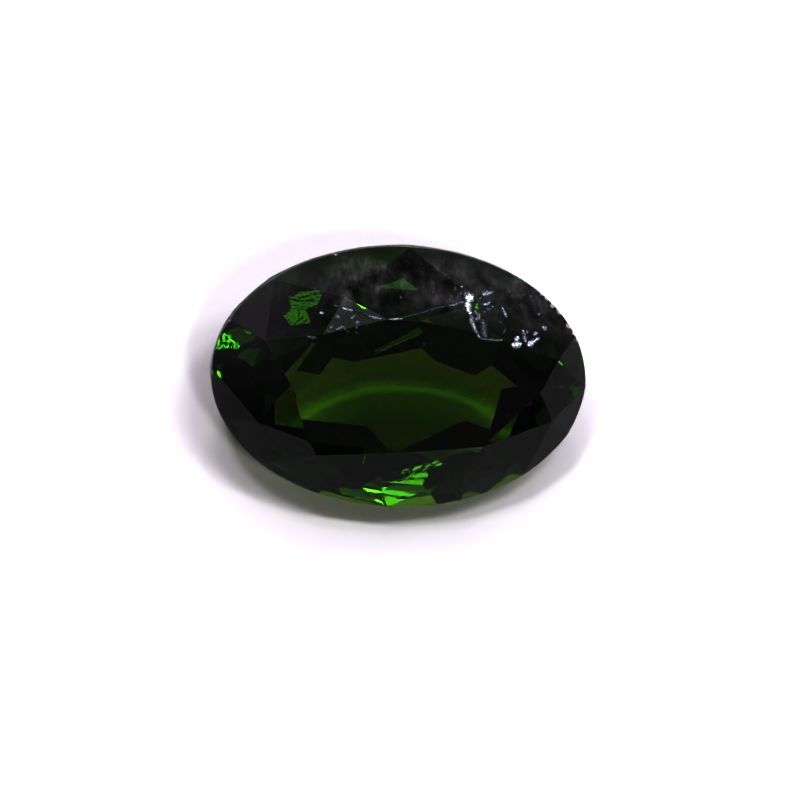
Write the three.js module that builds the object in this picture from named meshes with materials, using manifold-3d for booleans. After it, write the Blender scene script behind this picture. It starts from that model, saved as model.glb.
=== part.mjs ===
// A chrome diopside gemstone: an oval with a brilliant front and a stepped back.
// It is cut as a lapidary cuts it. An oval blank is made first, and each flat facet then takes a
// slice off it. At the end the stone is laid on the floor on the facet that it rests on.
import * as THREE from "three";
import { mergeVertices } from "three/addons/utils/BufferGeometryUtils.js";
import Module from "manifold-3d";

// Driving sizes, in millimetres.
const length = 7.0;
const width = 4.9;
const crownHeight = 0.85;
const girdleAbove = 0.09;
const girdleBelow = 0.1;
const blankDepth = 4.0;
const outlineSteps = 80;

// The eight main facets of the crown, from the right end anticlockwise as the front of the stone
// is looked at. lean is the angle up from the girdle in degrees, slide moves the facet's upper tip
// sideways and flat is half the length of an edge that the tip shares with the table.
const crownMains = [
  { lean: 41, slide: 0, flat: 0 },
  { lean: 37, slide: -0.05, flat: 0 },
  { lean: 35, slide: 0.14, flat: 0.3 },
  { lean: 36, slide: 0.2, flat: 0 },
  { lean: 33, slide: 0, flat: 0 },
  { lean: 42.5, slide: -0.08, flat: 0 },
  { lean: 35, slide: 0.2, flat: 0 },
  { lean: 38, slide: 0, flat: 0 },
];

// How far each star facet reaches from the table to the girdle, between two main facets.
const starReach = [0.35, 0.29, 0.28, 0.35, 0.35, 0.14, 0.28, 0.33];

// The back is stepped. Each step has facets of one steepness, and drop is its height.
const girdleStep = { count: 16, turn: 11.25, leans: [58], drop: 0.5 };
const middleStep = { count: 8, turn: 22.5, leans: [45.5], drop: 1.1 };
const lowerStep = { count: 8, turn: 12, leans: [34, 35, 33, 33, 31, 31, 31, 31], drop: 0.45 };
const keelStep = { count: 8, turn: 0, leans: [16], drop: 0.4 };

// The lower steps were cut a little off the middle, and hand held facets wander by part of a degree.
const offMiddle = new THREE.Vector3(0.05, -0.2, 0);
const wander = 0.35;

// The stone rests on this facet of the lower step, counted like the crown's main facets.
const restingFacet = 6;

const up = new THREE.Vector3(0, 0, 1);
const down = new THREE.Vector3(0, 0, -1);

const wasm = await Module();
wasm.setup();

function onOutline(turn, height) {
  const angle = THREE.MathUtils.degToRad(turn);
  return new THREE.Vector3((length / 2) * Math.cos(angle), (width / 2) * Math.sin(angle), height);
}

function outwards(turn) {
  const angle = THREE.MathUtils.degToRad(turn);
  return new THREE.Vector3(Math.cos(angle) / length, Math.sin(angle) / width, 0).normalize();
}

function leaningPlane(turn, lean, side, point) {
  const angle = THREE.MathUtils.degToRad(lean);
  const normal = outwards(turn).multiplyScalar(Math.sin(angle));
  normal.addScaledVector(side, Math.cos(angle));
  return new THREE.Plane().setFromNormalAndCoplanarPoint(normal, point);
}

function planeThrough(a, b, c) {
  const plane = new THREE.Plane().setFromCoplanarPoints(a, b, c);
  return plane.constant > 0 ? plane.negate() : plane;
}

function levelPlane(height) {
  return new THREE.Plane().setFromNormalAndCoplanarPoint(up, new THREE.Vector3(0, 0, height));
}

// The point where three facets meet.
function meeting(a, b, c) {
  const ab = new THREE.Vector3().crossVectors(a.normal, b.normal);
  const bc = new THREE.Vector3().crossVectors(b.normal, c.normal);
  const ca = new THREE.Vector3().crossVectors(c.normal, a.normal);
  const share = -1 / a.normal.dot(bc);
  const point = new THREE.Vector3().addScaledVector(bc, a.constant * share);
  return point.addScaledVector(ca, b.constant * share).addScaledVector(ab, c.constant * share);
}

// A main facet of the crown, with the two ends of the edge or point where it meets the table.
function crownMain({ lean, slide, flat }, index) {
  const turn = index * 45;
  const plane = leaningPlane(turn, lean, up, onOutline(turn, girdleAbove));
  const side = new THREE.Vector3().crossVectors(up, outwards(turn));
  const middle = planeThrough(new THREE.Vector3(), onOutline(turn, 0), onOutline(turn, 1));
  const tip = meeting(plane, middle, levelPlane(girdleAbove + crownHeight));
  return {
    plane,
    first: tip.clone().addScaledVector(side, slide - flat),
    last: tip.clone().addScaledVector(side, slide + flat),
  };
}

// The star facet and the two upper girdle facets between one main facet and the next.
function crownGap(main, next, index) {
  const top = meeting(main.plane, next.plane, levelPlane(girdleAbove + crownHeight));
  const foot = meeting(main.plane, next.plane, levelPlane(girdleAbove));
  const corner = top.lerp(foot, starReach[index]);
  const joint = onOutline(index * 45 + 22.5, girdleAbove);
  return [
    planeThrough(main.last, next.first, corner),
    planeThrough(onOutline(index * 45, girdleAbove), joint, corner),
    planeThrough(joint, onOutline(index * 45 + 45, girdleAbove), corner),
  ];
}

function crownFacets() {
  const mains = crownMains.map(crownMain);
  const gaps = mains.flatMap((main, index) => crownGap(main, mains[(index + 1) % 8], index));
  return [levelPlane(girdleAbove + crownHeight), ...mains.map((main) => main.plane), ...gaps];
}

// The facets of one step of the back. inset and depth are where the step starts.
function stepFacets({ count, turn, leans }, inset, depth, shift) {
  return Array.from({ length: count }, (_, index) => {
    const facing = turn + (index * 360) / count;
    const lean = leans[index % leans.length] + (leans.length > 1 ? 0 : wander * Math.sin(index * 2.4));
    const start = onOutline(facing, -depth).addScaledVector(outwards(facing), -inset).add(shift);
    return leaningPlane(facing, lean, down, start);
  });
}

function pavilionFacets() {
  let inset = 0;
  let depth = girdleBelow;
  return [girdleStep, middleStep, lowerStep, keelStep].map((step, index) => {
    const facets = stepFacets(step, inset, depth, index ? offMiddle : new THREE.Vector3());
    const slope = Math.tan(THREE.MathUtils.degToRad(step.leans[step.leans.length > 1 ? restingFacet : 0]));
    inset += step.drop / slope;
    depth += step.drop;
    return facets;
  });
}

function toSolid(geometry) {
  const bare = geometry.clone();
  bare.deleteAttribute("normal");
  bare.deleteAttribute("uv");
  const merged = mergeVertices(bare, 1e-5);
  const vertProperties = Float32Array.from(merged.attributes.position.array);
  const triVerts = Uint32Array.from(merged.index.array);
  return new wasm.Manifold(new wasm.Mesh({ numProp: 3, vertProperties, triVerts }));
}

function toGeometry(solid) {
  const mesh = solid.getMesh();
  const geometry = new THREE.BufferGeometry();
  geometry.setAttribute("position", new THREE.BufferAttribute(Float32Array.from(mesh.vertProperties), 3));
  geometry.setIndex(new THREE.BufferAttribute(Uint32Array.from(mesh.triVerts), 1));
  const flat = geometry.toNonIndexed();
  flat.computeVertexNormals();
  return flat;
}

function ovalBlank() {
  const outline = new THREE.Shape().absellipse(0, 0, length / 2, width / 2, 0, Math.PI * 2);
  const options = { depth: blankDepth, bevelEnabled: false, curveSegments: outlineSteps };
  const blank = new THREE.ExtrudeGeometry(outline, options);
  return toSolid(blank.translate(0, 0, -blankDepth + 1.2));
}

function cutFacet(stone, plane) {
  const { x, y, z } = plane.normal;
  return stone.trimByPlane([-x, -y, -z], plane.constant);
}

// Turns the stone onto its resting facet and puts the middle of its underside at the origin.
function layOnFloor(geometry, facet) {
  const turn = new THREE.Quaternion().setFromUnitVectors(facet.normal, down);
  geometry.applyQuaternion(turn);
  geometry.computeBoundingBox();
  const { min, max } = geometry.boundingBox;
  return geometry.translate(-(min.x + max.x) / 2, -(min.y + max.y) / 2, -min.z);
}

const steps = pavilionFacets();
const cut = [...crownFacets(), ...steps.flat()].reduce(cutFacet, ovalBlank());
const geometry = layOnFloor(toGeometry(cut), steps[2][restingFacet]);

const green = new THREE.MeshStandardMaterial({
  name: "chrome_diopside",
  color: 0x0f3a0c,
  roughness: 0.05,
  transparent: true,
  opacity: 0.6,
});
const stone = new THREE.Mesh(geometry, green);
stone.name = "gemstone";

const group = new THREE.Group();
group.name = "chrome_diopside_gemstone";
group.add(stone);

export default group;
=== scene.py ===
# A chrome diopside gemstone lying on a white floor, with a painted green glow on the floor under it, seen
# almost from above.
# The stone is the lapidary's solid with worn facet junctions, small chips and a frosted girdle,
# in clear green crystal, with scuffs from handling, a little dust and a thin painted glare on its front.
import math
import random

import bmesh
import bpy
import numpy as np
from mathutils import Matrix, Vector, noise
from mathutils.bvhtree import BVHTree


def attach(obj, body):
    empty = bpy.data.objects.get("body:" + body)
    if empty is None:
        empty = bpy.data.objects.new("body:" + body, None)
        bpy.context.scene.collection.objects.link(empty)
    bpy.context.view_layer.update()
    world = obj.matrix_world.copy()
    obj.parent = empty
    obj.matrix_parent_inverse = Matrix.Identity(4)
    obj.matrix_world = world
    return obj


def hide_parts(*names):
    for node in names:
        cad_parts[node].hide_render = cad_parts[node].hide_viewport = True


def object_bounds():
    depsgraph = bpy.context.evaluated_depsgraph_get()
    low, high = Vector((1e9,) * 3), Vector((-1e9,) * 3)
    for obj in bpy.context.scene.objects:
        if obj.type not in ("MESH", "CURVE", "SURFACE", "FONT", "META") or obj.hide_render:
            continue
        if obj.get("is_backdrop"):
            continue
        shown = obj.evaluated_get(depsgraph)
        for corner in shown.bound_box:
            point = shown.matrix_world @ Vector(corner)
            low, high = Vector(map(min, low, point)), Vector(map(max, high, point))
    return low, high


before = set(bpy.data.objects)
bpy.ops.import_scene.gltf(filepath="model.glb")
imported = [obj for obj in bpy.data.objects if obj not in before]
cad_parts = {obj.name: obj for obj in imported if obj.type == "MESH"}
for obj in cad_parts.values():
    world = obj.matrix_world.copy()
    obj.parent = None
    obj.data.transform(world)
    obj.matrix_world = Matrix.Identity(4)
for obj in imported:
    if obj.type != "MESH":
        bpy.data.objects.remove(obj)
cad_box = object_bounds()

MM = 0.001

# The middle of the stone's own girdle plane, and the way its table faces.
STONE_MIDDLE = Vector((0.0044, -0.0221, 2.1212)) * MM
TABLE_FACES = Vector((0.0758, -0.5094, 0.8572)).normalized()


# Camera

# How far the camera is turned from straight in front, its height above the floor and how far it is tipped
# to its side, in degrees.
CAMERA_TURN = -13.84
CAMERA_HEIGHT = 69.9
CAMERA_ROLL = 15.39

# How much the picture takes in at the stone, and a long lens on a usual sensor, in millimetres.
PICTURE_WIDTH = 14.8 * MM
LENS = 900.0
SENSOR = 36.0

# How far the middle of the picture lies from the middle of the stone.
AIM_RIGHT = 0.03 * MM
AIM_UP = -0.44 * MM


def camera_axes():
    """The ways that are right, up and backwards in the picture."""
    turn = math.radians(CAMERA_TURN)
    height = math.radians(CAMERA_HEIGHT)
    level = math.cos(height)
    back = Vector((math.sin(turn) * level, -math.cos(turn) * level, math.sin(height)))
    sideways = Vector((math.cos(turn), math.sin(turn), 0.0))
    upright = back.cross(sideways)
    roll = math.radians(CAMERA_ROLL)
    right = sideways * math.cos(roll) + upright * math.sin(roll)
    return right, back.cross(right), back


def place_camera():
    right, upward, back = camera_axes()
    data = bpy.data.cameras.new("camera")
    data.lens = LENS
    data.sensor_width = SENSOR
    distance = PICTURE_WIDTH * LENS / SENSOR
    camera = bpy.data.objects.new("camera", data)
    bpy.context.collection.objects.link(camera)
    spot = STONE_MIDDLE + right * AIM_RIGHT + upward * AIM_UP + back * distance
    turn = Matrix((right, upward, back)).transposed()
    camera.matrix_world = Matrix.Translation(spot) @ turn.to_4x4()
    data.clip_start = distance * 0.05
    data.clip_end = distance * 100
    bpy.context.scene.camera = camera


# Helpers for node trees

def node(tree, kind, operation=None, **values):
    """A shader node with its operation and the numbers of its inputs."""
    made = tree.nodes.new(kind)
    if operation:
        made.operation = operation
    for name, value in values.items():
        made.inputs[name.replace("_", " ")].default_value = value
    return made


def ramp(tree, value, start, end, low=0.0, high=1.0):
    """Goes from low to high while the value goes from start to end."""
    made = node(tree, "ShaderNodeMapRange", From_Min=start, From_Max=end, To_Min=low, To_Max=high)
    tree.links.new(value, made.inputs["Value"])
    return made.outputs["Result"]


def along_axes(tree, place):
    """The three numbers of a place or a direction."""
    split = tree.nodes.new("ShaderNodeSeparateXYZ")
    tree.links.new(place, split.inputs["Vector"])
    return split.outputs


def own_place(tree):
    """Where a point lies on the piece, in metres."""
    return tree.nodes.new("ShaderNodeTexCoord").outputs["Object"]


def tinted(tree, tint, strength):
    """A colour made darker or brighter by an output."""
    made = node(tree, "ShaderNodeVectorMath", "SCALE")
    made.inputs[0].default_value = tint
    tree.links.new(strength, made.inputs["Scale"])
    return made.outputs[0]


def maths(tree, operation, first, second):
    """A sum, product or the like of two numbers or outputs."""
    made = tree.nodes.new("ShaderNodeMath")
    made.operation = operation
    for socket, value in zip(made.inputs, (first, second)):
        if isinstance(value, (int, float)):
            socket.default_value = value
        else:
            tree.links.new(value, socket)
    return made.outputs[0]


# Light

LAMP_DISTANCE = 420 * MM

# Each lamp: its direction round from the back, its height, half its width, all in degrees, and its share of
# the floor's light. The first six throw the soft shadows. The others make the sparkles inside the stone.
LAMPS = {
    "lamp_right_low": (93, 71, 3, 0.11),
    "lamp_right": (88, 79, 3, 0.12),
    "lamp_back": (-28, 76, 3, 0.06),
    "lamp_left": (-78, 77, 3, 0.18),
    "lamp_overhead": (100, 84, 3, 0.09),
    "lamp_front": (166, 64, 3, 0.21),
    "sparkle_front": (-142.9, 60.0, 0.7, 0.0009),
    "sparkle_front_deep": (177, 58.7, 1.5, 0.0038),
    "sparkle_right": (110.4, 27.3, 1.2, 0.0007),
    "sparkle_right_low": (108, 25.3, 1.2, 0.0007),
    "sparkle_back": (3, 52, 1.5, 0.0024),
    "sparkle_over_front": (160, 76, 1.2, 0.0029),
    "sparkle_low_left": (87.8, 62.4, 1.0, 0.0005),
    "sparkle_left_end": (-2, 63.5, 2.5, 0.0450),
}

# The room is dark in front, where the camera stands, and pale at the back wall. Each pair is a direction,
# from front (-1) to back (1) or from level (0) to straight up (1), and a brightness.
ROOM_BY_SIDE = ((-0.9, 0.18), (0.0, 0.22), (0.2, 0.36), (0.5, 1.05), (0.85, 1.30))
ROOM_BY_HEIGHT = ((0.0, 0.40), (0.5, 0.85), (0.66, 1.0), (0.74, 0.70), (0.80, 0.35), (0.9, 0.30))

# The soft light overhead: the way to it, its inner and outer edge in degrees, and its brightness.
SOFT_LIGHT_TURN = 20
SOFT_LIGHT_HEIGHT = 84
SOFT_LIGHT_EDGES = (10, 24)
SOFT_LIGHT_STRENGTH = 1.9
ROOM_TINT = (0.985, 0.965, 1.0, 1.0)


def direction(turn, height):
    """The way to a lamp, from its turn round from the back and its height, in degrees."""
    turn = math.radians(turn)
    height = math.radians(height)
    level = math.cos(height)
    return Vector((math.sin(turn) * level, math.cos(turn) * level, math.sin(height)))


def place_lamp(name, turn, height, half, share):
    """A round lamp that faces the stone and gives a known share of the light on the floor."""
    data = bpy.data.lights.new(name, "AREA")
    data.shape = "DISK"
    radius = LAMP_DISTANCE * math.tan(math.radians(half))
    data.size = 2 * radius
    solid = 2 * (1 - math.cos(math.radians(half))) * math.sin(math.radians(height))
    data.energy = share / solid * (math.pi * radius) ** 2
    lamp = bpy.data.objects.new(name, data)
    bpy.context.collection.objects.link(lamp)
    way = direction(turn, height)
    lamp.location = way * LAMP_DISTANCE
    lamp.rotation_mode = "QUATERNION"
    lamp.rotation_quaternion = way.to_track_quat("Z", "Y")


def brightness_line(tree, value, low, pairs):
    """A smooth line through pairs of a direction and a brightness."""
    line = tree.nodes.new("ShaderNodeFloatCurve")
    line.mapping.use_clip = False
    points = line.mapping.curves[0].points
    points[0].location = (0.0, pairs[0][1])
    points[1].location = (1.0, pairs[-1][1])
    for spot, strength in pairs:
        points.new((spot - low) / (1 - low), strength)
    line.mapping.update()
    tree.links.new(ramp(tree, value, low, 1.0), line.inputs["Value"])
    return line.outputs["Value"]


def soft_light(tree, way):
    """A large round light overhead, bright in the middle and fading out."""
    inner, outer = (math.cos(math.radians(edge)) for edge in SOFT_LIGHT_EDGES)
    near = node(tree, "ShaderNodeVectorMath", "DOT_PRODUCT")
    near.inputs[1].default_value = direction(SOFT_LIGHT_TURN, SOFT_LIGHT_HEIGHT)
    tree.links.new(way, near.inputs[0])
    glow = node(tree, "ShaderNodeMapRange", From_Min=outer, From_Max=inner, To_Max=SOFT_LIGHT_STRENGTH)
    glow.interpolation_type = "SMOOTHSTEP"
    tree.links.new(near.outputs["Value"], glow.inputs["Value"])
    return glow.outputs["Result"]


def light_room():
    for name, values in LAMPS.items():
        place_lamp(name, *values)
    world = bpy.data.worlds.new("room")
    world.use_nodes = True
    tree = world.node_tree
    way = tree.nodes.new("ShaderNodeTexCoord").outputs["Generated"]
    axes = along_axes(tree, way)
    side = brightness_line(tree, axes["Y"], -1.0, ROOM_BY_SIDE)
    height = brightness_line(tree, axes["Z"], 0.0, ROOM_BY_HEIGHT)
    walls = maths(tree, "MULTIPLY", side, height)
    whole = maths(tree, "ADD", walls, soft_light(tree, way))
    tree.links.new(whole, tree.nodes["Background"].inputs["Strength"])
    tree.nodes["Background"].inputs["Color"].default_value = ROOM_TINT
    bpy.context.scene.world = world


# A hard picture with deep darks, and enough bounces for the light that goes round inside the stone.
PICTURE_GAMMA = 0.417
BOUNCES_INSIDE = 24
BOUNCES_OFF = 16
BRIGHTEST_STRAY = 3.0


def develop_picture():
    scene = bpy.context.scene
    scene.view_settings.view_transform = "Standard"
    scene.view_settings.gamma = PICTURE_GAMMA
    scene.cycles.max_bounces = BOUNCES_INSIDE
    scene.cycles.transmission_bounces = BOUNCES_INSIDE
    scene.cycles.glossy_bounces = BOUNCES_OFF
    scene.cycles.sample_clamp_indirect = BRIGHTEST_STRAY
    scene.cycles.denoising_input_passes = "RGB"


# Materials

def new_material(name):
    """A new material, its node tree and its shader."""
    material = bpy.data.materials.new(name)
    material.use_nodes = True
    tree = material.node_tree
    return material, tree, tree.nodes["Principled BSDF"]


def mark_on_faces(tree, name):
    """The number that the mesh carries under this name."""
    made = tree.nodes.new("ShaderNodeAttribute")
    made.attribute_name = name
    return made.outputs["Fac"]


def mottling(tree, size, low, high, detail=3.0, squash=(1.0, 1.0, 1.0)):
    """Blotches of a given size in metres: 0 where the noise is below low, 1 above high."""
    squeeze = node(tree, "ShaderNodeVectorMath", "MULTIPLY")
    squeeze.inputs[1].default_value = squash
    blotches = node(tree, "ShaderNodeTexNoise", Scale=1.0 / size, Detail=detail)
    tree.links.new(own_place(tree), squeeze.inputs[0])
    tree.links.new(squeeze.outputs[0], blotches.inputs["Vector"])
    return ramp(tree, blotches.outputs["Fac"], low, high)


# How much of the surface is dust, rubbing and painted glare that lifts the dark facets, as shares of one.
EVEN_DUST_AND_GLARE = 0.013
TABLE_DUST_AND_GLARE = 0.019
BACK_DUST = 0.20
LEFT_PAINTED_GLARE = 0.070
RIGHT_PAINTED_GLARE = 0.006
WORN_CLOUD = 0.45

# Where the dust on the back slopes and the painted glare on the left end begin and where they are full, and
# how large the patches and the grain of the dust are.
DUST_BEHIND = (0.50 * MM, 1.00 * MM)
DUST_AT_RIM = (2.1 * MM, 1.45 * MM)
DUST_FROM_LEFT = (-1.75 * MM, -1.15 * MM)
PAINTED_GLARE_BEHIND = (-0.9 * MM, 0.3 * MM)
PAINTED_GLARE_TO_LEFT = (-1.2 * MM, -2.4 * MM)
DUST_PATCH = 0.36 * MM
DUST_GRAIN = 0.07 * MM


def film_of_dust_and_painted_glare(tree):
    """Thin dust and painted glare everywhere on the front, patchy dust on its back slopes, more painted glare
    at the left end and cloudy where worn.
    """
    axes = along_axes(tree, own_place(tree))
    patches = mottling(tree, DUST_PATCH, 0.36, 0.70, 4.0)
    grain = mottling(tree, DUST_GRAIN, 0.34, 0.70, 3.0, (1.0, 0.45, 1.0))
    uneven = maths(tree, "ADD", maths(tree, "MULTIPLY", grain, 0.55), 0.45)
    at_rim = ramp(tree, axes["Y"], *DUST_AT_RIM, 0.25)
    reach = maths(tree, "MULTIPLY", ramp(tree, axes["Y"], *DUST_BEHIND), at_rim)
    reach = maths(tree, "MULTIPLY", reach, ramp(tree, axes["X"], *DUST_FROM_LEFT, 0.15))
    dust = maths(tree, "MULTIPLY", maths(tree, "MULTIPLY", patches, uneven), reach)
    end = ramp(tree, axes["X"], *PAINTED_GLARE_TO_LEFT, RIGHT_PAINTED_GLARE, LEFT_PAINTED_GLARE)
    painted_end_glare = maths(tree, "MULTIPLY", ramp(tree, axes["Y"], *PAINTED_GLARE_BEHIND), end)
    thick = maths(tree, "ADD", maths(tree, "MULTIPLY", dust, BACK_DUST), painted_end_glare)
    slopes = mark_on_faces(tree, "sloping")
    level = maths(tree, "SUBTRACT", TABLE_DUST_AND_GLARE, maths(tree, "MULTIPLY", slopes, TABLE_DUST_AND_GLARE))
    film = maths(tree, "ADD", maths(tree, "MULTIPLY", thick, slopes), level)
    front = maths(tree, "MULTIPLY", maths(tree, "ADD", film, EVEN_DUST_AND_GLARE), mark_on_faces(tree, "front"))
    worn = maths(tree, "MULTIPLY", mark_on_faces(tree, "worn"), WORN_CLOUD)
    return maths(tree, "ADD", front, worn)


# The crystal: the tint of its surface where dust, wear and painted glare lie, how strongly it bends light,
# and what it takes out of the light.
DUST_GLARE_AND_WEAR_TINT = (0.98, 0.87, 1.0, 1.0)
CRYSTAL_BENDING = 1.68
CRYSTAL_GREEN = (0.615, 0.777, 0.0, 1.0)
CRYSTAL_DENSITY = 1300.0

# How dull the polish is along fine scratches, on the frosted girdle and where it is worn.
SCRATCH_DULLNESS = 0.06
GIRDLE_DULLNESS = 0.30
WORN_DULLNESS = 0.35
SCRATCH_WIDTH = 0.05 * MM

# The back facets are slightly wavy from polishing by hand.
WAVE_SIZE = 0.14 * MM
WAVE_HEIGHT = 0.0006 * MM


def crystal():
    """Clear green crystal: polished facets, a frosted girdle and slightly wavy facets on the back."""
    material, tree, skin = new_material("chrome_diopside")
    skin.inputs["Base Color"].default_value = DUST_GLARE_AND_WEAR_TINT
    skin.inputs["IOR"].default_value = CRYSTAL_BENDING
    # Where the film lies the crystal lets less light through and shows its tinted surface: dust, wear and a
    # painted glare that lifts the dark facets.
    tree.links.new(maths(tree, "SUBTRACT", 1.0, film_of_dust_and_painted_glare(tree)), skin.inputs["Transmission Weight"])
    scratches = mottling(tree, SCRATCH_WIDTH, 0.70, 0.80, 2.0, (1.0, 0.12, 1.0))
    scratches = maths(tree, "MULTIPLY", scratches, mark_on_faces(tree, "front"))
    rough = maths(tree, "MULTIPLY", scratches, SCRATCH_DULLNESS)
    rough = maths(tree, "ADD", rough, maths(tree, "MULTIPLY", mark_on_faces(tree, "frost"), GIRDLE_DULLNESS))
    rough = maths(tree, "ADD", rough, maths(tree, "MULTIPLY", mark_on_faces(tree, "worn"), WORN_DULLNESS))
    tree.links.new(rough, skin.inputs["Roughness"])
    wavy = node(tree, "ShaderNodeBump", Distance=WAVE_HEIGHT)
    tree.links.new(mark_on_faces(tree, "wavy"), wavy.inputs["Strength"])
    tree.links.new(mottling(tree, WAVE_SIZE, 0.0, 1.0, 2.0), wavy.inputs["Height"])
    tree.links.new(wavy.outputs["Normal"], skin.inputs["Normal"])
    inside = node(tree, "ShaderNodeVolumeAbsorption", Color=CRYSTAL_GREEN, Density=CRYSTAL_DENSITY)
    tree.links.new(inside.outputs["Volume"], tree.nodes["Material Output"].inputs["Volume"])
    return material


def bruised_crystal():
    """Crushed crystal along the worn junctions: bluish white, brighter and darker in grains."""
    material, tree, skin = new_material("bruised_crystal")
    grainy = ramp(tree, mottling(tree, 0.03 * MM, 0.35, 0.62), 0.0, 1.0, 0.30, 1.25)
    shine = maths(tree, "MULTIPLY", grainy, mark_on_faces(tree, "pale"))
    tree.links.new(tinted(tree, (0.84, 0.90, 1.0), shine), skin.inputs["Base Color"])
    skin.inputs["Roughness"].default_value = 0.35
    skin.inputs["Specular IOR Level"].default_value = 0.25
    return material


def dust_fibre():
    """Grey lint, a little uneven."""
    material, tree, skin = new_material("grey_dust")
    shade = ramp(tree, mottling(tree, 0.6 * MM, 0.3, 0.7, 2.0), 0.0, 1.0, 0.10, 0.55)
    tree.links.new(tinted(tree, (0.95, 0.93, 1.0), shade), skin.inputs["Base Color"])
    skin.inputs["Roughness"].default_value = 0.95
    skin.inputs["Specular IOR Level"].default_value = 0.1
    return material


# A painted glow: where the green light that comes through the stone would gather on the paper under it,
# painted on the paper as a glowing arch.
ARCH_MIDDLE = (0.08 * MM, -0.05 * MM)
ARCH_SIZE = (1.92 * MM, 0.85 * MM)
PAINTED_ARCH_LIGHT = (0.62, 1.0, 0.10, 1.0)
PAINTED_ARCH_GLOW = 0.50

PAPER_WHITE = (0.890, 0.862, 0.909, 1.0)

# The painted arch from its middle outwards: distance, where 1 is on the arch, and brightness of the painted
# glow.
# It fades out before its reach.
ARCH_PROFILE = ((0.30, 0.17), (0.82, 0.26), (0.97, 1.0), (1.07, 0.42), (1.22, 0.0))
ARCH_REACH = 2.0


def painted_arch_of_light(tree):
    """How bright the painted glow is: a half ring, over the paper's own coordinates."""
    centred = node(tree, "ShaderNodeVectorMath", "SUBTRACT")
    centred.inputs[1].default_value = (*ARCH_MIDDLE, 0.0)
    scaled = node(tree, "ShaderNodeVectorMath", "DIVIDE")
    scaled.inputs[1].default_value = (*ARCH_SIZE, 1.0)
    out = node(tree, "ShaderNodeVectorMath", "LENGTH")
    band = tree.nodes.new("ShaderNodeValToRGB")
    band.color_ramp.interpolation = "EASE"
    stops = band.color_ramp.elements
    while len(stops) < len(ARCH_PROFILE):
        stops.new(1.0)
    for stop, (spot, value) in zip(stops, ARCH_PROFILE):
        stop.position = spot / ARCH_REACH
        stop.color = (value, value, value, 1.0)
    upper = node(tree, "ShaderNodeMapRange", From_Min=0.05, From_Max=0.45)
    upper.interpolation_type = "SMOOTHSTEP"
    tree.links.new(own_place(tree), centred.inputs[0])
    tree.links.new(centred.outputs[0], scaled.inputs[0])
    tree.links.new(scaled.outputs[0], out.inputs[0])
    tree.links.new(maths(tree, "DIVIDE", out.outputs["Value"], ARCH_REACH), band.inputs["Fac"])
    tree.links.new(along_axes(tree, scaled.outputs[0])["Y"], upper.inputs["Value"])
    return maths(tree, "MULTIPLY", band.outputs["Color"], upper.outputs["Result"])


def paper_with_painted_glow():
    """Matt white paper, with a painted glow: the green light that the stone gathers, painted on it as
    emission.
    """
    material, tree, skin = new_material("white_paper_with_painted_glow")
    skin.inputs["Base Color"].default_value = PAPER_WHITE
    skin.inputs["Roughness"].default_value = 0.9
    skin.inputs["Specular IOR Level"].default_value = 0.0
    # Painted light: the paper itself glows green in an arch under the stone, standing in for the light that
    # the stone gathers there.
    skin.inputs["Emission Color"].default_value = PAINTED_ARCH_LIGHT
    tree.links.new(maths(tree, "MULTIPLY", painted_arch_of_light(tree), PAINTED_ARCH_GLOW), skin.inputs["Emission Strength"])
    return material


# Floor

# A hair's breadth of air under the facet that the stone rests on.
FLOOR_GAP = 0.004 * MM
FLOOR_RADIUS = 600 * MM


def lay_floor():
    bm = bmesh.new()
    bmesh.ops.create_circle(bm, cap_ends=True, segments=96, radius=FLOOR_RADIUS)
    mesh = bpy.data.meshes.new("floor")
    bmesh.ops.translate(bm, verts=bm.verts, vec=(0, 0, -FLOOR_GAP))
    bm.to_mesh(mesh)
    bm.free()
    floor = bpy.data.objects.new("floor", mesh)
    bpy.context.collection.objects.link(floor)
    mesh.materials.append(paper_with_painted_glow())
    floor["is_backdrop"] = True


# Stone

# How wide the worn flats on the junctions are, and how cloudy, where a fresh chip is 1.
WORN_EDGE = 0.004 * MM
WORN_TABLE_EDGE = 0.007 * MM
WORN_FLAT = 0.15

# The stone's outline in millimetres.
HALF_LENGTH = 3.5
HALF_WIDTH = 2.45

# Chips out of the rim: angle round the girdle, then the scoop's radius and its height on the girdle in
# millimetres.
CHIPS = (
    (20.5, 0.05, 0.08),
    (24.0, 0.07, 0.10),
    (27.5, 0.10, 0.06),
    (31.0, 0.06, 0.10),
    (34.0, 0.09, 0.04),
    (37.5, 0.11, 0.08),
    (41.0, 0.07, 0.02),
    (43.5, 0.05, 0.09),
    (62.0, 0.035, 0.09),
    (113.0, 0.045, 0.09),
    (121.0, 0.03, 0.08),
    (158.0, 0.04, 0.09),
    (205.0, 0.03, 0.08),
    (262.0, 0.035, 0.09),
    (318.0, 0.03, 0.08),
    (352.0, 0.04, 0.07),
)

# How squarely a facet faces the table's way: the table itself, the front, and the girdle in between.
TABLE_FACING = 0.9999
GIRDLE_FACING = 0.2

# A facet's sideways direction on its plane comes from this slanted line, which no facet faces.
SLANTED = (0.31, 0.87, 0.38)
LARGE_SQUARE = 20 * MM

# Points closer than this are one point, corners that stand this far over a plane show a sliver, and a
# corner this near a plane, in metres, lies on it.
SAME_POINT = 0.0005 * MM
SAME_CORNER = 0.00002 * MM
SLIVER = 0.003 * MM
TOUCHING = 1e-13

# Facets that meet at less than this many degrees keep a sharp junction.
BARELY_BENT = 7


def into_world(point):
    """From the stone's own frame, with the table level, to where the stone lies."""
    return STONE_MIDDLE + Vector((0.0, 0.0, 1.0)).rotation_difference(TABLE_FACES) @ point


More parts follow.
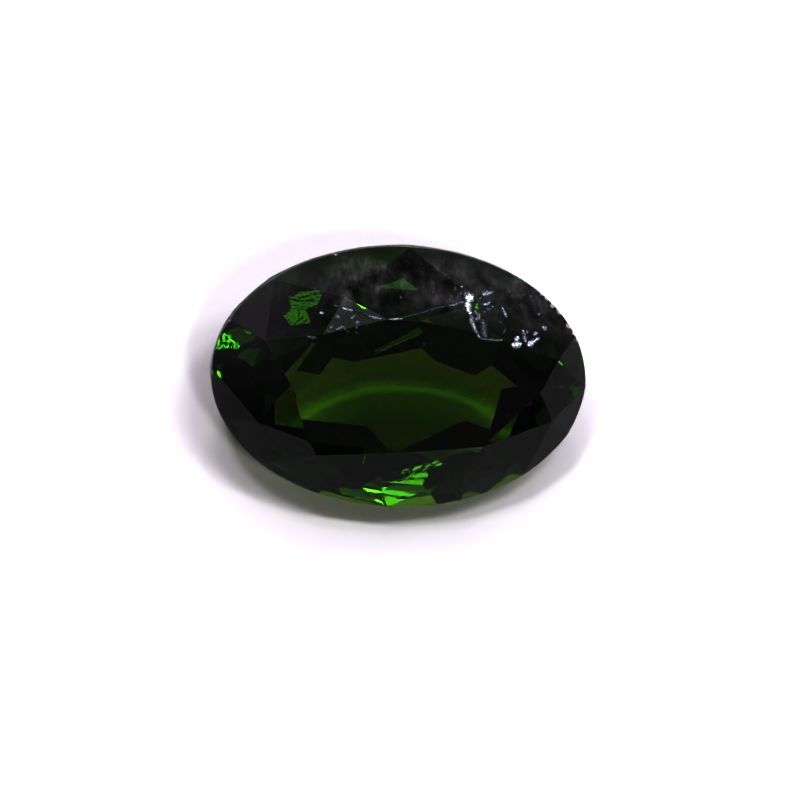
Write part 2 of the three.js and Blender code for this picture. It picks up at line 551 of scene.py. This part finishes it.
def cut_solid():
    """The lapidary's solid as whole flat facets."""
    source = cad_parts["gemstone"]
    bm = bmesh.new()
    bm.from_mesh(source.data)
    bmesh.ops.remove_doubles(bm, verts=bm.verts, dist=SAME_POINT)
    bmesh.ops.dissolve_limit(bm, angle_limit=math.radians(0.3), verts=bm.verts, edges=bm.edges)
    return bm


def junction_wear(a, b, middle):
    """How wide a flat handling has left: wider along the back of the table."""
    table = max(a.dot(TABLE_FACES), b.dot(TABLE_FACES)) > TABLE_FACING
    return WORN_TABLE_EDGE if table and middle.y > STONE_MIDDLE.y + 0.6 * MM else WORN_EDGE


def facet_planes(bm):
    """The plane of each facet. Slivers that corners stand over, too thin for a plane, are left out."""
    bm.normal_update()
    corners = np.array([vert.co for vert in bm.verts])
    planes = [(*face.normal, face.calc_center_median().dot(face.normal)) for face in bm.faces]
    return [plane for plane in planes if (corners @ np.array(plane[:3])).max() - plane[3] < SLIVER]


def junction_flats(bm):
    """The planes of the very narrow flats worn on the junctions of the facets."""
    flats = []
    for edge in bm.edges:
        a, b = (face.normal for face in edge.link_faces)
        if a.angle(b) > math.radians(BARELY_BENT):
            way = (a + b).normalized()
            middle = (edge.verts[0].co + edge.verts[1].co) / 2
            depth = junction_wear(a, b, middle) * math.tan(a.angle(b) / 2) / 2
            flats.append((*way, middle.dot(way) - depth))
    return flats


def clip(outline, heights):
    """The part of a flat outline that lies below a plane, from each corner's height over it."""
    kept = []
    for here, there, low, high in zip(outline, np.roll(outline, -1, 0), heights, np.roll(heights, -1)):
        if low <= 0:
            kept.append(here)
        if (low < 0) != (high < 0) and low != high:
            kept.append(here + (there - here) * low / (low - high))
    return np.array(kept)


def facet_outline(planes, index):
    """One facet: a large square on its plane, cut back again and again by the plane that it crosses most."""
    normal = planes[index, :3]
    side = np.cross(normal, SLANTED)
    side /= np.linalg.norm(side)
    up = np.cross(normal, side)
    middle = normal * planes[index, 3]
    corners = ((1, 1), (-1, 1), (-1, -1), (1, -1))
    outline = np.array([middle + (side * a + up * b) * LARGE_SQUARE for a, b in corners])
    while len(outline) > 2:
        heights = outline @ planes[:, :3].T - planes[:, 3]
        heights[:, index] = -1.0
        worst = heights.max(0).argmax()
        if heights[:, worst].max() < TOUCHING:
            return outline
        outline = clip(outline, heights[:, worst])
    return None


def solid_between(bm, facets, flats):
    """The solid that lies below all the facets and all the worn flats."""
    bm.clear()
    worn = bm.faces.layers.float.get("worn") or bm.faces.layers.float.new("worn")
    planes = np.array(facets + flats)
    planes /= np.linalg.norm(planes[:, :3], axis=1)[:, None]
    for index in range(len(planes)):
        outline = facet_outline(planes, index)
        if outline is not None:
            face = bm.faces.new([bm.verts.new(corner) for corner in outline])
            face[worn] = WORN_FLAT if index >= len(facets) else 0.0
    bmesh.ops.remove_doubles(bm, verts=bm.verts, dist=SAME_CORNER)
    bmesh.ops.recalc_face_normals(bm, faces=bm.faces)
    bm.normal_update()


def wear_edges(bm):
    """The same solid with its facet junctions slightly worn, as handling does."""
    facets = facet_planes(bm)
    solid_between(bm, facets, [])
    solid_between(bm, facets, junction_flats(bm))


def scoop(number, angle, radius, height):
    """A rough lump that takes one chip out of the rim."""
    turn = math.radians(angle)
    rim = Vector((HALF_LENGTH * math.cos(turn), HALF_WIDTH * math.sin(turn), height)) * MM
    out = Vector((math.cos(turn) / HALF_LENGTH, math.sin(turn) / HALF_WIDTH, 0.25)).normalized()
    radius = radius * MM
    bm = bmesh.new()
    bmesh.ops.create_icosphere(bm, subdivisions=2, radius=1.0)
    for vert in bm.verts:
        rough = 1 + 0.30 * noise.noise(vert.co * 1.3 + Vector((number * 3.7, 0.0, 1.0)))
        vert.co = into_world(rim + out * radius * 0.55) + vert.co * rough * radius
    worn = bm.faces.layers.float.new("worn")
    for face in bm.faces:
        face[worn] = 1.0
    mesh = bpy.data.meshes.new("scoop")
    bm.to_mesh(mesh)
    bm.free()
    lump = bpy.data.objects.new("scoop", mesh)
    bpy.context.collection.objects.link(lump)
    return lump


def take_chips(stone):
    """Cuts the chips out of the rim. The scoops are gone afterwards."""
    lumps = [scoop(number, *chip) for number, chip in enumerate(CHIPS)]
    for lump in lumps:
        cut = stone.modifiers.new("chip", "BOOLEAN")
        cut.operation = "DIFFERENCE"
        cut.solver = "EXACT"
        cut.object = lump
    bpy.context.view_layer.update()
    seen = stone.evaluated_get(bpy.context.evaluated_depsgraph_get())
    chipped = bpy.data.meshes.new_from_object(seen)
    stone.modifiers.clear()
    stone.data = chipped
    for lump in lumps:
        bpy.data.meshes.remove(lump.data)


def mark_finish(mesh):
    """Writes on each face how it is finished: front, sloping, frosted girdle, or wavy back."""
    bm = bmesh.new()
    bm.from_mesh(mesh)
    bm.normal_update()
    layers = {name: bm.faces.layers.float.new(name) for name in ("front", "sloping", "frost", "wavy")}
    worn = bm.faces.layers.float["worn"]
    for face in bm.faces:
        up = face.normal.dot(TABLE_FACES)
        girdle = abs(up) <= GIRDLE_FACING
        face[layers["front"]] = float(up > GIRDLE_FACING)
        face[layers["sloping"]] = float(GIRDLE_FACING < up < TABLE_FACING)
        face[layers["frost"]] = float(girdle)
        face[layers["wavy"]] = float(up < -GIRDLE_FACING)
        face.smooth = girdle and face[worn] < WORN_FLAT / 2
    for edge in bm.edges:
        edge.smooth = all(face.smooth for face in edge.link_faces)
    bm.to_mesh(mesh)
    bm.free()


def make_stone():
    """The finished stone, which stands for the lapidary's solid."""
    bm = cut_solid()
    wear_edges(bm)
    mesh = bpy.data.meshes.new("faceted_stone")
    bm.to_mesh(mesh)
    bm.free()
    stone = bpy.data.objects.new("faceted_stone", mesh)
    bpy.context.collection.objects.link(stone)
    take_chips(stone)
    mark_finish(stone.data)
    stone.data.materials.clear()
    stone.data.materials.append(crystal())
    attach(stone, "root")
    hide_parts("gemstone")
    return stone


# Bruises

# Strokes of crushed crystal on the front, read from the photograph: how pale each is, then places
# along it as points of the picture, counted from its top left corner, each with the stroke's width there.
BRUISES = {
    "table_edge_left_tip": (0.24, ((333, 305, 1.2), (340.5, 307.5, 1.6))),
    "table_edge_left": (0.46, ((341.5, 308, 1.4), (347, 309.5, 2), (353.5, 311, 1.3))),
    "table_edge_left_thin": (0.14, ((355, 311.5, 1.2), (367, 315.5, 1.2))),
    "table_edge_middle_left": (0.38, ((367.5, 316, 1.2), (374, 317.5, 2), (382, 319.4, 1.4))),
    "table_edge_middle": (0.44, ((388.5, 319.5, 1.3), (395, 319.5, 2), (403, 318.5, 1.3))),
    "table_edge_thin": (0.14, ((403, 317.5, 1.2), (420, 313.5, 1.3), (438, 307.5, 2.2), (447, 306, 1.4))),
    "table_edge_right": (0.26, ((447, 306, 1.4), (452, 305.5, 2.4), (464, 301.5, 2))),
    "corner_top": (0.80, ((465.5, 301, 4), (468, 299, 8), (471, 297.5, 7), (474, 297, 5))),
    "corner_left": (0.70, ((467, 301, 6), (469, 311, 3.5), (471, 315, 3))),
    "corner_left_low": (0.42, ((471.5, 315, 2.5), (471.5, 320, 4), (475.5, 331, 2.2), (480, 338.5, 2.2))),
    "corner_inside": (0.30, ((474, 310.5, 2), (479.5, 317, 4), (474, 321, 2))),
    "corner_inside_low": (0.20, ((481, 319, 2), (484, 325, 4), (484, 335, 4), (487, 338, 3))),
    "corner_foot": (0.26, ((480, 338.5, 2), (487.5, 339.5, 1.6), (495, 340.5, 2.2), (503, 340, 1.4))),
    "corner_bar": (0.50, ((481.5, 295.5, 2), (485, 294, 4), (493.5, 292, 1.6))),
    "corner_hook": (0.46, ((481, 304.5, 1.6), (488, 304.5, 3.4), (489.6, 301.5, 2.2))),
    "right_splinter": (0.34, ((501.5, 306, 1.6), (505, 314, 3), (506.5, 318.5, 2.2))),
    "right_patch": (0.80, ((510.5, 345, 2), (514, 345, 4.5), (518, 344.5, 5), (522, 343.5, 2))),
    "right_patch_tip": (0.70, ((514.5, 342, 3), (517, 339, 4), (518.5, 336, 2.4))),
    "right_low_splinter": (0.40, ((522.5, 329, 1.6), (525, 339, 3.4), (526, 343, 2))),
    "right_wedge": (0.72, ((527, 346, 2), (530, 344, 5), (534, 341, 3.2), (539.5, 337.5, 1.8))),
    "right_dot": (0.42, ((533, 336, 1.6), (535.5, 333.5, 4), (538, 332, 2))),
    "rim_patch": (0.48, ((542, 325.5, 1.8), (544, 328, 4), (547, 329.5, 3.4))),
    "rim_top": (0.50, ((547.5, 297.5, 2.4), (551, 300, 4), (558, 305.5, 1.8))),
    "rim_low": (0.40, ((564, 317.5, 1.6), (568, 317, 1.4))),
    "left_dot": (0.46, ((319, 313.5, 1.5), (322, 313, 2.8), (324.5, 313.5, 1.4))),
    "left_low": (0.34, ((336, 330, 1.4), (339.5, 328.5, 2.6), (344, 326.5, 1.6))),
    "left_corner": (0.20, ((307, 336, 1.6), (312, 338, 2.6), (318, 338, 1.4))),
}

# Rubbed areas with faint short scuffs: left, top, right and bottom in the picture, and how many there are.
SCUFFED = {
    "behind_the_corner": (476, 288, 545, 334, 22),
    "left_of_the_edge": (318, 315, 358, 334, 9),
    "back_slopes": (400, 284, 470, 300, 5),
}

# The picture is this many points wide, and this is the width of one at the stone.
PICTURE_POINTS = 800
PICTURE_POINT = PICTURE_WIDTH / PICTURE_POINTS


def scuffs():
    """Short faint strokes in the rubbed areas, each turned and sized by chance."""
    chance = random.Random(4)
    for left, top, right, bottom, count in SCUFFED.values():
        for _ in range(count):
            x = chance.uniform(left, right)
            y = chance.uniform(top, bottom)
            turn = chance.uniform(0.0, math.pi)
            reach = chance.uniform(1.2, 3.6)
            width = chance.uniform(1.4, 3.2)
            across = reach * math.cos(turn)
            down = reach * math.sin(turn)
            start = (x - across, y - down, width * 0.6)
            stop = (x + across, y + down, width * 0.5)
            yield chance.uniform(0.14, 0.34), (start, (x, y, width), stop)


def stroke_points(stroke, step):
    """Points one step apart along a stroke, from the picture's middle, with their directions and widths."""
    middle = PICTURE_POINTS / 2
    points = []
    for x, y, width in stroke:
        points.append((Vector((x - middle, middle - y)) * PICTURE_POINT, width * PICTURE_POINT))
    for (start, first), (stop, last) in zip(points, points[1:]):
        count = max(2, round((stop - start).length / step))
        for index in range(count):
            share = index / count
            yield start.lerp(stop, share), (stop - start).normalized(), first + (last - first) * share
    yield points[-1][0], (points[-1][0] - points[-2][0]).normalized(), points[-1][1]


def drop_onto(surface, spot):
    """Where a point of the picture falls on the front of the stone, and the way the surface faces there."""
    right, upward, back = camera_axes()
    middle = STONE_MIDDLE + right * AIM_RIGHT + upward * AIM_UP
    start = middle + right * spot.x + upward * spot.y + back * 8 * MM
    return surface.ray_cast(start, -back)[:2]


# Where the rows of a stroke run across its width, and how much of its paleness each keeps.
ROWS = ((-0.70, 0.1), (-0.42, 0.5), (-0.15, 1.3), (0.15, 1.3), (0.42, 0.5), (0.70, 0.1))

# How far apart the points of a stroke are, how high it stands, and how deep it is sunk into the surface.
STROKE_STEP = 0.014 * MM
STROKE_RISE = 0.001 * MM
STROKE_RIDGE = 0.004 * MM
STROKE_SUNK = 0.003 * MM
STROKE_SPREAD = 1.2
PALEST = 1.2
DARKEST_SHADE = 0.10


def across_stroke(surface, spot, way, width, seed):
    """One row of points across a stroke: each its top, its underside and its share of paleness."""
    across = Vector((-way.y, way.x)) * width * STROKE_SPREAD
    for part, share in ROWS:
        chance = seed + Vector((part * 3, 0.0, 0.0))
        ragged = 1 + 0.9 * noise.noise(chance)
        place, normal = drop_onto(surface, spot + across * part * ragged)
        if place is None or normal.dot(TABLE_FACES) < 0.1:
            return
        rise = STROKE_RISE + share * STROKE_RIDGE * (1 + noise.noise(chance * 2.3))
        blotch = max(0.12, 0.95 + 1.5 * noise.noise(chance * 1.4 + Vector((0.0, 0.0, 7.0))))
        yield place + normal * rise, place - normal * STROKE_SUNK, share * blotch


def lay_stroke(bm, surface, pale, stroke, number):
    """One bruise: a thin closed ridge of uneven height, palest along its middle, sunk into the surface."""
    layer = bm.verts.layers.float["pale"]
    points = list(stroke_points(stroke, STROKE_STEP))
    rows = []
    for index, (spot, way, width) in enumerate(points):
        end = min(1.0, (index + 0.5) / 2.5, (len(points) - index - 0.5) / 2.5)
        row = list(across_stroke(surface, spot, way, width, Vector((number * 5.1, index * 0.8, 0.0))))
        if len(row) == len(ROWS):
            light = PALEST * pale * end
            rows.append([(high, low, max(DARKEST_SHADE, light * share)) for high, low, share in row])
    if len(rows) < 2:
        return
    top = [[bm.verts.new(high) for high, _, _ in row] for row in rows]
    under = [[bm.verts.new(low) for _, low, _ in row] for row in rows]
    for verts, row in zip(top, rows):
        for vert, (_, _, shade) in zip(verts, row):
            vert[layer] = shade
    close_ridge(bm, top, under)


def close_ridge(bm, top, under):
    """The faces of a ridge: its top, its underside, its two long sides and its two ends."""
    last = len(ROWS) - 1
    for a, b, c, d in zip(top, top[1:], under, under[1:]):
        for k in range(last):
            bm.faces.new((a[k], a[k + 1], b[k + 1], b[k]))
            bm.faces.new((c[k], d[k], d[k + 1], c[k + 1]))
        bm.faces.new((a[0], b[0], d[0], c[0]))
        bm.faces.new((a[last], c[last], d[last], b[last]))
    for high, low in ((top[0], under[0]), (top[-1], under[-1])):
        for k in range(last):
            bm.faces.new((high[k], low[k], low[k + 1], high[k + 1]))


def front_surface(stone):
    """The stone's surface, for finding where a point of the picture falls on it."""
    bm = bmesh.new()
    bm.from_mesh(stone.data)
    surface = BVHTree.FromBMesh(bm)
    bm.free()
    return surface


def make_bruises(stone):
    """All the strokes and scuffs as one piece."""
    surface = front_surface(stone)
    bm = bmesh.new()
    bm.verts.layers.float.new("pale")
    for number, (pale, stroke) in enumerate([*BRUISES.values(), *scuffs()]):
        lay_stroke(bm, surface, pale, stroke, number)
    bmesh.ops.recalc_face_normals(bm, faces=bm.faces)
    mesh = bpy.data.meshes.new("edge_bruises")
    bm.to_mesh(mesh)
    bm.free()
    bruises = bpy.data.objects.new("edge_bruises", mesh)
    bpy.context.collection.objects.link(bruises)
    mesh.materials.append(bruised_crystal())
    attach(bruises, "root")


# Dust

# About how many specks would lie on a square metre where the dust is thickest, and the least and greatest
# size of one.
SPECKS_PER_AREA = 3.7e7
SMALLEST_SPECK = (0.005 * MM, 0.004 * MM, 0.004 * MM)
LARGEST_SPECK = (0.020 * MM, 0.012 * MM, 0.009 * MM)
DUST_SEED = 7


def front_of_stone(stone):
    """The stone's front facets alone, with how much dust lies on each corner: most on the back slopes."""
    bm = bmesh.new()
    bm.from_mesh(stone.data)
    bm.normal_update()
    low = [face for face in bm.faces if face.normal.dot(TABLE_FACES) < 0.3]
    bmesh.ops.delete(bm, geom=low, context="FACES")
    bmesh.ops.triangulate(bm, faces=bm.faces)
    long_edges = [edge for edge in bm.edges if edge.calc_length() > 0.4 * MM]
    bmesh.ops.subdivide_edges(bm, edges=long_edges, cuts=2)
    dusty = bm.verts.layers.float.new("dusty")
    for vert in bm.verts:
        back = (vert.co.y - STONE_MIDDLE.y) / MM
        vert[dusty] = 0.10 + max(0.0, min(1.0, (back - 0.5) * 1.4))
    mesh = bpy.data.meshes.new("dusty_front")
    bm.to_mesh(mesh)
    bm.free()
    return mesh


def dust_recipe(material):
    """Scatters specks over a surface: one lumpy grain, turned and sized by chance, most where it is dusty."""
    tree = bpy.data.node_groups.new("dust_recipe", "GeometryNodeTree")
    sockets = {
        "Surface": "NodeSocketGeometry",
        "Specks per area": "NodeSocketFloat",
        "Smallest": "NodeSocketVector",
        "Largest": "NodeSocketVector",
        "Seed": "NodeSocketInt",
    }
    inputs = {}
    for name, kind in sockets.items():
        inputs[name] = tree.interface.new_socket(name, in_out="INPUT", socket_type=kind).identifier
    tree.interface.new_socket("Specks", in_out="OUTPUT", socket_type="NodeSocketGeometry")
    given = tree.nodes.new("NodeGroupInput")
    result = tree.nodes.new("NodeGroupOutput")
    scatter = tree.nodes.new("GeometryNodeDistributePointsOnFaces")
    dusty = node(tree, "GeometryNodeInputNamedAttribute", Name="dusty")
    ball = node(tree, "GeometryNodeMeshIcoSphere", Radius=1.0, Subdivisions=1)
    lumps = node(tree, "ShaderNodeTexNoise", Scale=1.3)
    centred = node(tree, "ShaderNodeVectorMath", "SUBTRACT")
    centred.inputs[1].default_value = (0.5, 0.5, 0.5)
    grain = tree.nodes.new("GeometryNodeSetPosition")
    turned = tree.nodes.new("FunctionNodeRandomValue")
    turned.data_type = "FLOAT_VECTOR"
    turned.inputs["Max"].default_value = (math.tau, math.tau, math.tau)
    sized = tree.nodes.new("FunctionNodeRandomValue")
    sized.data_type = "FLOAT_VECTOR"
    place = tree.nodes.new("GeometryNodeInstanceOnPoints")
    whole = tree.nodes.new("GeometryNodeRealizeInstances")
    paint = node(tree, "GeometryNodeSetMaterial", Material=material)
    link = tree.links.new
    link(given.outputs["Surface"], scatter.inputs["Mesh"])
    for chance in (scatter, turned, sized):
        link(given.outputs["Seed"], chance.inputs["Seed"])
    link(given.outputs["Smallest"], sized.inputs["Min"])
    link(given.outputs["Largest"], sized.inputs["Max"])
    thick = maths(tree, "MULTIPLY", dusty.outputs["Attribute"], given.outputs["Specks per area"])
    link(thick, scatter.inputs["Density"])
    link(ball.outputs["Mesh"], grain.inputs["Geometry"])
    link(lumps.outputs["Color"], centred.inputs[0])
    link(centred.outputs[0], grain.inputs["Offset"])
    link(scatter.outputs["Points"], place.inputs["Points"])
    link(grain.outputs["Geometry"], place.inputs["Instance"])
    link(turned.outputs["Value"], place.inputs["Rotation"])
    link(sized.outputs["Value"], place.inputs["Scale"])
    link(place.outputs["Instances"], whole.inputs["Geometry"])
    link(whole.outputs["Geometry"], paint.inputs["Geometry"])
    link(paint.outputs["Geometry"], result.inputs["Specks"])
    return tree, inputs


def make_dust(stone):
    """The dust as one plain mesh."""
    surface = front_of_stone(stone)
    dust = bpy.data.objects.new("dust_specks", surface)
    bpy.context.collection.objects.link(dust)
    scatter = dust.modifiers.new("scatter", "NODES")
    scatter.node_group, inputs = dust_recipe(dust_fibre())
    scatter[inputs["Specks per area"]] = SPECKS_PER_AREA
    scatter[inputs["Smallest"]] = SMALLEST_SPECK
    scatter[inputs["Largest"]] = LARGEST_SPECK
    scatter[inputs["Seed"]] = DUST_SEED
    bpy.context.view_layer.update()
    seen = dust.evaluated_get(bpy.context.evaluated_depsgraph_get())
    specks = bpy.data.meshes.new_from_object(seen)
    dust.modifiers.clear()
    dust.data = specks
    bpy.data.meshes.remove(surface)
    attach(dust, "root")


place_camera()
light_room()
develop_picture()
lay_floor()
stone = make_stone()
make_bruises(stone)
make_dust(stone)

boxes = {"cad": cad_box, "visual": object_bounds()}
{name: [list(corner) for corner in box] for name, box in boxes.items()}
